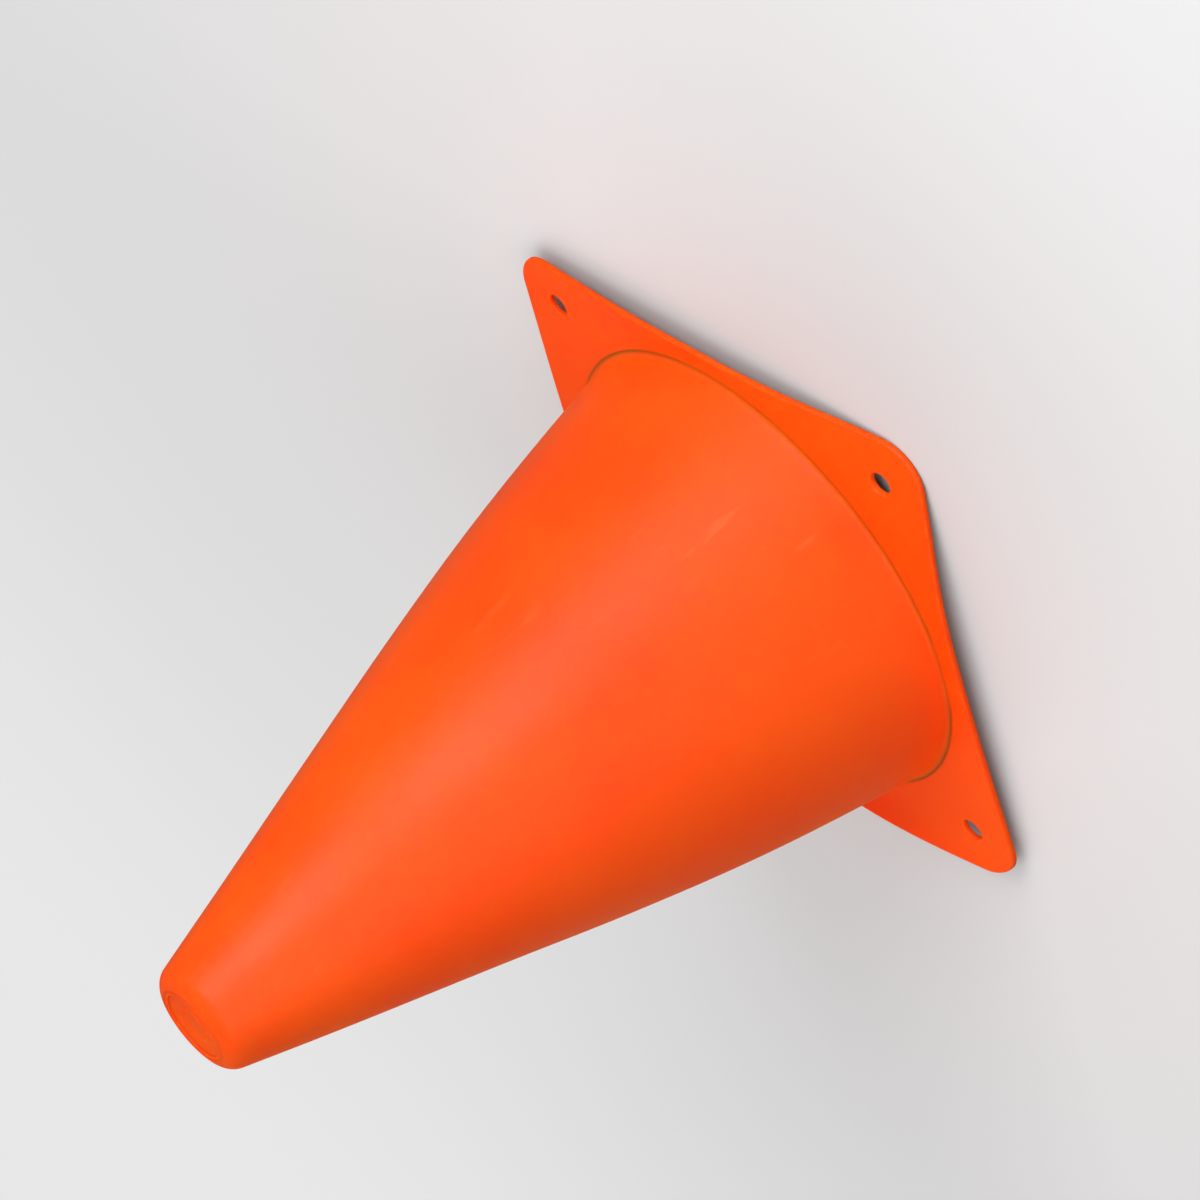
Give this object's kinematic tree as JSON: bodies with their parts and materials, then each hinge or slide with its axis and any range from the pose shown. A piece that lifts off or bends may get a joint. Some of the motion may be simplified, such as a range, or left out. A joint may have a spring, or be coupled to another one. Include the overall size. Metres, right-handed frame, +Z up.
{
  "type": "traffic cone",
  "caption": "Small bell-footed traffic cone in soft orange plastic, hollow underneath, on a thin square flange with a hole near each corner.",
  "frame": {"origin": "centre of the underside of the square flange", "axes": "+Z up the cone's axis to the tip, X and Y square to the flange's sides"},
  "size_m": [0.136, 0.136, 0.18],
  "materials": {
    "orange_polyethylene": "moulded low-density polyethylene, orange right through, semi-matt with a fine satin sheen"
  },
  "bodies": {
    "root": {"base_flange": "orange_polyethylene", "cone_body": "orange_polyethylene", "tip_disc": "orange_polyethylene"}
  },
  "joints": []
}
